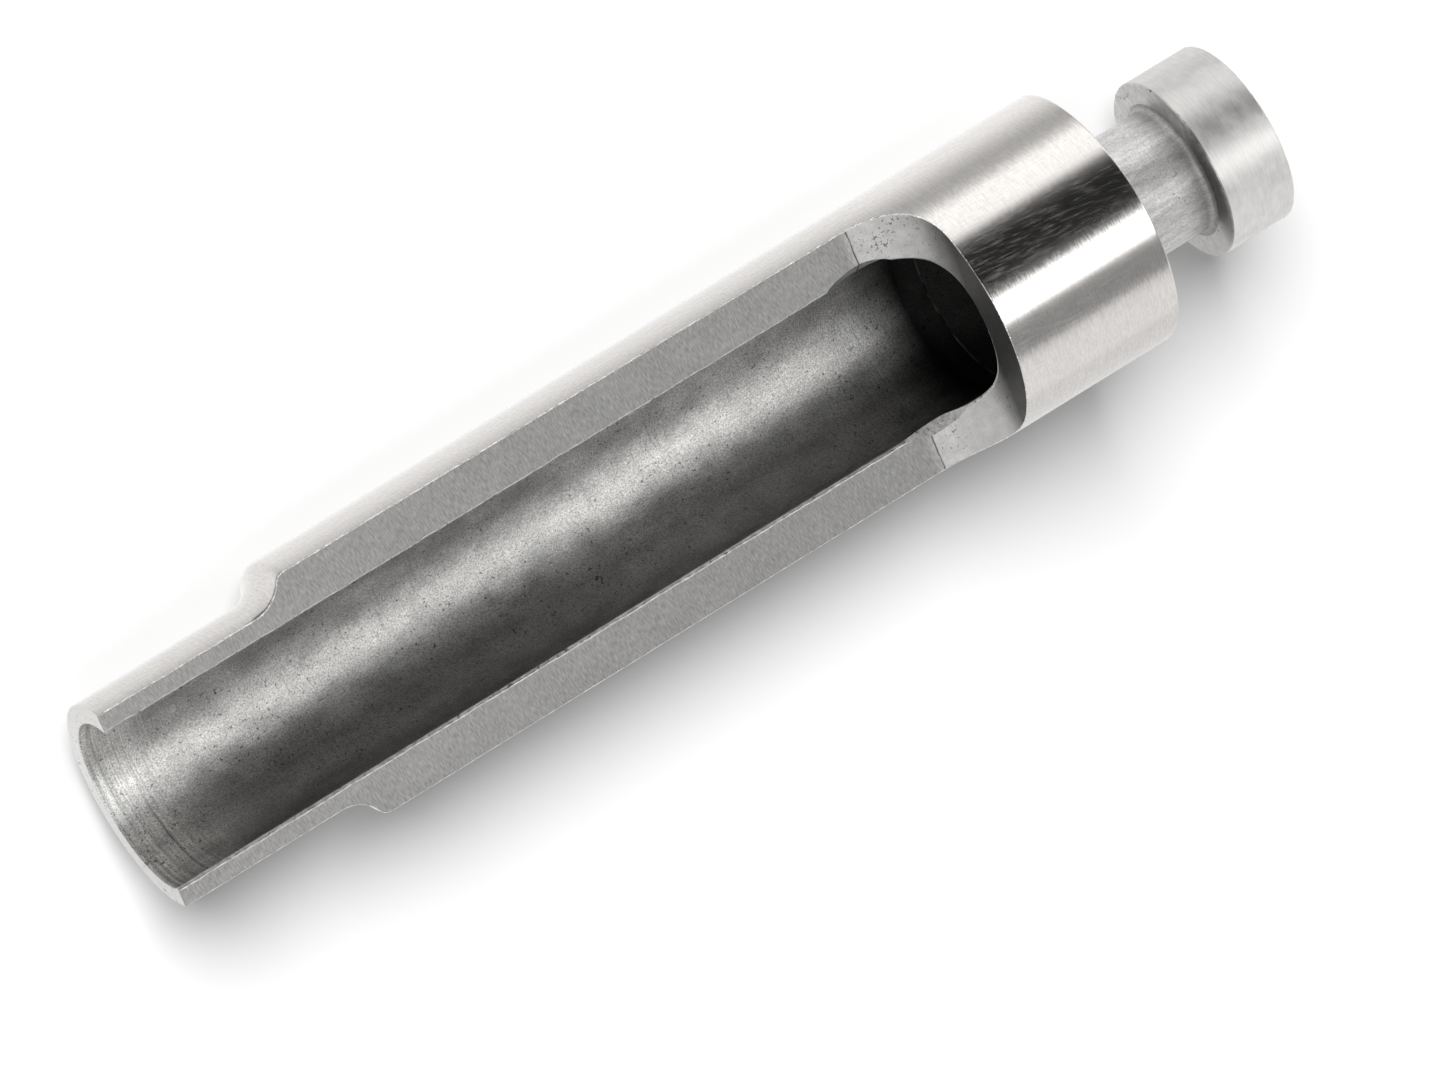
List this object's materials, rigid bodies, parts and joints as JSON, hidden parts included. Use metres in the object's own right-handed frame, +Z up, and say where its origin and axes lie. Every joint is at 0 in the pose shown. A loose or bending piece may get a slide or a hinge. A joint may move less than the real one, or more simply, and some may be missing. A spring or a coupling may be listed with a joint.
{
  "type": "nibbler punch",
  "caption": "Cylindrical steel punch with an open half-round chip channel along most of its length, a stepped-down cutting end, and a neck and head for the holder.",
  "frame": {"origin": "on the punch's axis, in the plane of the shoulder at the back of the body", "axes": "+X along the axis from the cutting end to the head, +Z up out of the open chip channel, +Y across it"},
  "size_m": [0.0945, 0.02, 0.02],
  "materials": {
    "tool_steel": "ground and turned, oiled bare steel"
  },
  "bodies": {
    "root": {"punch": "tool_steel"}
  },
  "joints": []
}
